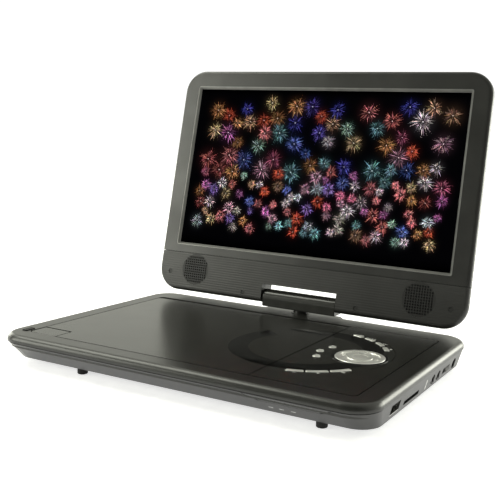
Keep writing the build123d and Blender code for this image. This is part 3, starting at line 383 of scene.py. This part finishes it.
def spark_arrays(bursts, rng):
    arrays = ([], [], [])
    for across, up, size, colour in bursts:
        centre = picture_point(across, up)
        room = min(
            PICTURE_SIZE[0] / 2 - abs(centre[0]),
            centre[1] - PICTURE_LOW,
            PICTURE_LOW + PICTURE_SIZE[1] - centre[1],
        )
        radius = min(size * MM, room / WIDEST_REACH - BURST_MARGIN)
        count = rng.randint(*STREAKS)
        burst_light = rng.uniform(0.3, 1.0)
        for index in range(count):
            angle = 2 * math.pi * (index + rng.uniform(-0.5, 0.5)) / count
            length = radius * rng.uniform(0.45, 1.0)
            light = burst_light * rng.choice(STREAK_LIGHTS)
            tint = [light * c * rng.uniform(0.8, 1.2) for c in colour]
            start = radius * rng.uniform(0.04, 0.3)
            width = rng.uniform(*STREAK_WIDTH) * MM
            add_streak(arrays, centre, angle, start, length, width, tint)
        add_core(arrays, centre, CORE_SIZE * radius, colour)
    return arrays


def build_picture():
    """The sky and the bursts are two meshes on the display, both lit by their painted colours."""
    rng = random.Random(PICTURE_SEED)
    bursts = scatter_bursts(rng)
    layers = (
        ("picture_sky", "picture_sky", glow_grid(bursts), SKY_STRENGTH),
        ("picture_fireworks", "picture_sparks", spark_arrays(bursts, rng), SPARK_STRENGTH),
    )
    for name, finish, arrays, strength in layers:
        light = coloured_light(finish, "paint", strength)
        link_mesh(name, painted_mesh(name, *arrays), lid_matrix(), "lid", light)


# ---------------------------------------------------------------- printed marks, without lettering
MARK_HEIGHT = 0.02 * MM
ARC_MARK_RADIUS = 53.9 * MM
SMALL_MARK_OFFSET = Vector((-0.6, 3.6)) * MM
# The upright bar by the sockets: its middle in y, half its width, and its low and high ends.
PORT_MARK = (SWIVEL.y - 81.6 * MM, 0.6 * MM, 6.0 * MM, 12.0 * MM)
# The right wall leans outwards: its foot in x and z, and how far it goes out for each step up.
WALL_FOOT = (124.5 * MM, 4.0 * MM)
WALL_SLOPE = 2.9 / 11.1


def bar(u, v, wide, high):
    half_wide, half_high = wide / 2, high / 2
    return [
        (u - half_wide, v - half_high),
        (u + half_wide, v - half_high),
        (u + half_wide, v + half_high),
        (u - half_wide, v + half_high),
    ]


def arrow(u, direction):
    """A filled triangle that points left (-1) or right (1), listed anticlockwise."""
    corners = [(u - 0.55 * direction, -0.8 * direction), (u + 0.65 * direction, 0.0)]
    return corners + [(u - 0.55 * direction, 0.8 * direction)]


# Each mark is a list of shapes, in mm from the mark's middle.
ARC_MARKS = {
    "previous_key": [bar(-1.7, 0, 0.3, 1.6), arrow(-0.7, -1), arrow(0.6, -1)],
    "play_key": [arrow(-0.9, 1), bar(0.4, 0, 0.35, 1.6), bar(1.1, 0, 0.35, 1.6)],
    "next_key": [arrow(-0.6, 1), arrow(0.7, 1), bar(1.7, 0, 0.3, 1.6)],
    "stop_key": [bar(0, 0, 1.5, 1.5)],
    "volume_down_key": [bar(0, 0, 1.9, 0.45)],
    "volume_up_key": [bar(0, 0, 1.9, 0.45), bar(0, 0.6, 0.45, 0.7), bar(0, -0.6, 0.45, 0.7)],
    "mode_key": [bar(0, 0.45, 2.4, 0.4), bar(0, -0.45, 2.4, 0.4)],
}
SMALL_MARK = [bar(0, 0, 3.2, 0.5)]
SMALL_KEYS = ("menu_key", "setup_key", "source_key")


def node_middle(name):
    """The middle of a carried-over node, seen from above."""
    thing = NODES[name]
    corners = [thing.matrix_world @ Vector(corner) for corner in thing.bound_box]
    total = sum(corners, Vector((0, 0, 0))) / len(corners)
    return Vector((total.x, total.y))


def panel_marks():
    """Where every mark on the top panel stands, with its shapes."""
    marks = []
    for name, shapes in ARC_MARKS.items():
        outward = (node_middle(name) - RING_CENTRE).normalized()
        marks.append((RING_CENTRE + outward * ARC_MARK_RADIUS, shapes))
    for name in SMALL_KEYS:
        marks.append((node_middle(name) + SMALL_MARK_OFFSET, SMALL_MARK))
    return marks


def build_marks():
    """All the marks are one thin mesh, a hair above the plastic."""
    vertices, faces = [], []
    for place, shapes in panel_marks():
        for shape in shapes:
            faces.append(tuple(range(len(vertices), len(vertices) + len(shape))))
            vertices += [(place.x + u * MM, place.y + v * MM, PANEL_TOP + MARK_HEIGHT) for u, v in shape]
    middle, half, low, high = PORT_MARK
    faces.append(tuple(range(len(vertices), len(vertices) + 4)))
    for y, z in ((middle - half, low), (middle + half, low), (middle + half, high), (middle - half, high)):
        vertices.append((WALL_FOOT[0] + (z - WALL_FOOT[1]) * WALL_SLOPE + MARK_HEIGHT, y, z))
    mesh = bpy.data.meshes.new("printed_marks")
    mesh.from_pydata(vertices, [], faces)
    ink = plain("print_white", (0.85, 0.85, 0.83), 0.5, gloss=0.3, grain=0.2, depth=0.001)
    link_mesh("printed_marks", mesh, Matrix.Identity(4), "base", ink)


# ---------------------------------------------------------------- stage, light and camera
FLOOR_RADIUS = 4.0
FLOOR_SIDES = 96
FLOOR_GLOW = 0.68


def build_floor():
    bm = bmesh.new()
    bmesh.ops.create_circle(bm, cap_ends=True, segments=FLOOR_SIDES, radius=FLOOR_RADIUS)
    mesh = bpy.data.meshes.new("floor")
    bm.to_mesh(mesh)
    bm.free()
    material, tree, bsdf = shade("floor_paper", (0.86, 0.86, 0.85), 0.75, gloss=0.1, grain=1.5, depth=0.01)
    bsdf.inputs["Emission Color"].default_value = (1, 1, 1, 1)
    bsdf.inputs["Emission Strength"].default_value = FLOOR_GLOW
    mesh.materials.append(material)
    floor = bpy.data.objects.new("floor", mesh)
    bpy.context.scene.collection.objects.link(floor)


STUDIO_TINT = (1.0, 1.01, 0.89, 1)
BACKDROP_LIGHT = 1.1
DIM_SIDE = 0.16
BRIGHT_SIDE = 0.95
# The room brightens between these two values of a ray's forward direction.
DIM_UNTIL = -0.6
BRIGHT_FROM = 0.3


def build_world():
    """A white room for the camera. As a light it is bright behind the player and dim in front of it."""
    world = bpy.data.worlds.new("studio")
    world.use_nodes = True
    tree = world.node_tree
    room = tree.nodes["Background"]
    room.inputs["Color"].default_value = STUDIO_TINT
    direction = tree.nodes.new("ShaderNodeSeparateXYZ")
    source = tree.nodes.new("ShaderNodeTexCoord")
    tree.links.new(source.outputs["Generated"], direction.inputs["Vector"])
    ramp = tree.nodes.new("ShaderNodeMapRange")
    ramp.interpolation_type = "SMOOTHSTEP"
    ramp.inputs["From Min"].default_value = DIM_UNTIL
    ramp.inputs["From Max"].default_value = BRIGHT_FROM
    ramp.inputs["To Min"].default_value = DIM_SIDE
    ramp.inputs["To Max"].default_value = BRIGHT_SIDE
    tree.links.new(direction.outputs["Y"], ramp.inputs["Value"])
    tree.links.new(ramp.outputs["Result"], room.inputs["Strength"])
    seen = tree.nodes.new("ShaderNodeBackground")
    seen.inputs["Color"].default_value = (1, 1, 1, 1)
    seen.inputs["Strength"].default_value = BACKDROP_LIGHT
    ray = tree.nodes.new("ShaderNodeLightPath")
    chooser = tree.nodes.new("ShaderNodeMixShader")
    tree.links.new(ray.outputs["Is Camera Ray"], chooser.inputs["Fac"])
    tree.links.new(room.outputs["Background"], chooser.inputs[1])
    tree.links.new(seen.outputs["Background"], chooser.inputs[2])
    tree.links.new(chooser.outputs["Shader"], tree.nodes["World Output"].inputs["Surface"])
    bpy.context.scene.world = world
    bpy.context.scene.view_settings.view_transform = "Standard"


def area_light(name, place, target, size, power):
    light = bpy.data.lights.new(name, "AREA")
    light.shape = "RECTANGLE"
    light.size, light.size_y = size
    light.energy = power
    light.color = STUDIO_TINT[:3]
    thing = bpy.data.objects.new(name, light)
    bpy.context.scene.collection.objects.link(thing)
    thing.location = place
    thing.rotation_euler = (Vector(target) - Vector(place)).to_track_quat("-Z", "Y").to_euler()


# Each light's name, its place and target in metres, its size and its power in watts.
SOFTBOXES = (
    ("top_softbox", (-0.78, -0.15, 1.05), (-0.1, 0, 0.03), (0.7, 0.6), 7.5),
    ("front_left_softbox", (-0.95, -0.75, 0.42), (-0.1, 0.05, 0.1), (0.55, 0.6), 7.0),
    ("left_softbox", (-1.2, 0.35, 0.25), (0, 0.05, 0.1), (0.5, 0.5), 3.0),
    ("right_softbox", (0.75, 1.1, 0.25), (0.1, 0, 0.05), (0.8, 0.5), 8.5),
)

IMAGE_SIDE_PX = 500
CAMERA_FOCUS_PX = 810.67
CAMERA_TURN = math.radians(27.46)
CAMERA_RISE = math.radians(6.41)
CAMERA_ROLL = math.radians(2.40)
CAMERA_AIM = Vector((0.0, -19.86, 80.5)) * MM
CAMERA_SLIDE = (31.99 * MM, 11.27 * MM)
CAMERA_DISTANCE = 524.04 * MM
CAMERA_SHIFT = (-43.05 / IMAGE_SIDE_PX, -22.97 / IMAGE_SIDE_PX)


def build_camera():
    back = Vector(
        (
            math.sin(CAMERA_TURN) * math.cos(CAMERA_RISE),
            -math.cos(CAMERA_TURN) * math.cos(CAMERA_RISE),
            math.sin(CAMERA_RISE),
        )
    )
    level = Vector((math.cos(CAMERA_TURN), math.sin(CAMERA_TURN), 0))
    steep = back.cross(level)
    right = math.cos(CAMERA_ROLL) * level + math.sin(CAMERA_ROLL) * steep
    up = math.cos(CAMERA_ROLL) * steep - math.sin(CAMERA_ROLL) * level
    target = CAMERA_AIM + right * CAMERA_SLIDE[0] + up * CAMERA_SLIDE[1]
    camera = bpy.data.objects.new("camera", bpy.data.cameras.new("camera"))
    camera.data.lens = CAMERA_FOCUS_PX * camera.data.sensor_width / IMAGE_SIDE_PX
    camera.data.shift_x, camera.data.shift_y = CAMERA_SHIFT
    camera.data.clip_start = 0.01
    rotation = Matrix((right, up, back)).transposed().to_4x4()
    camera.matrix_world = Matrix.Translation(target + back * CAMERA_DISTANCE) @ rotation
    bpy.context.scene.collection.objects.link(camera)
    bpy.context.scene.camera = camera


dress_cad_nodes()
build_picture()
build_marks()
build_floor()
build_world()
for softbox in SOFTBOXES:
    area_light(*softbox)
build_camera()
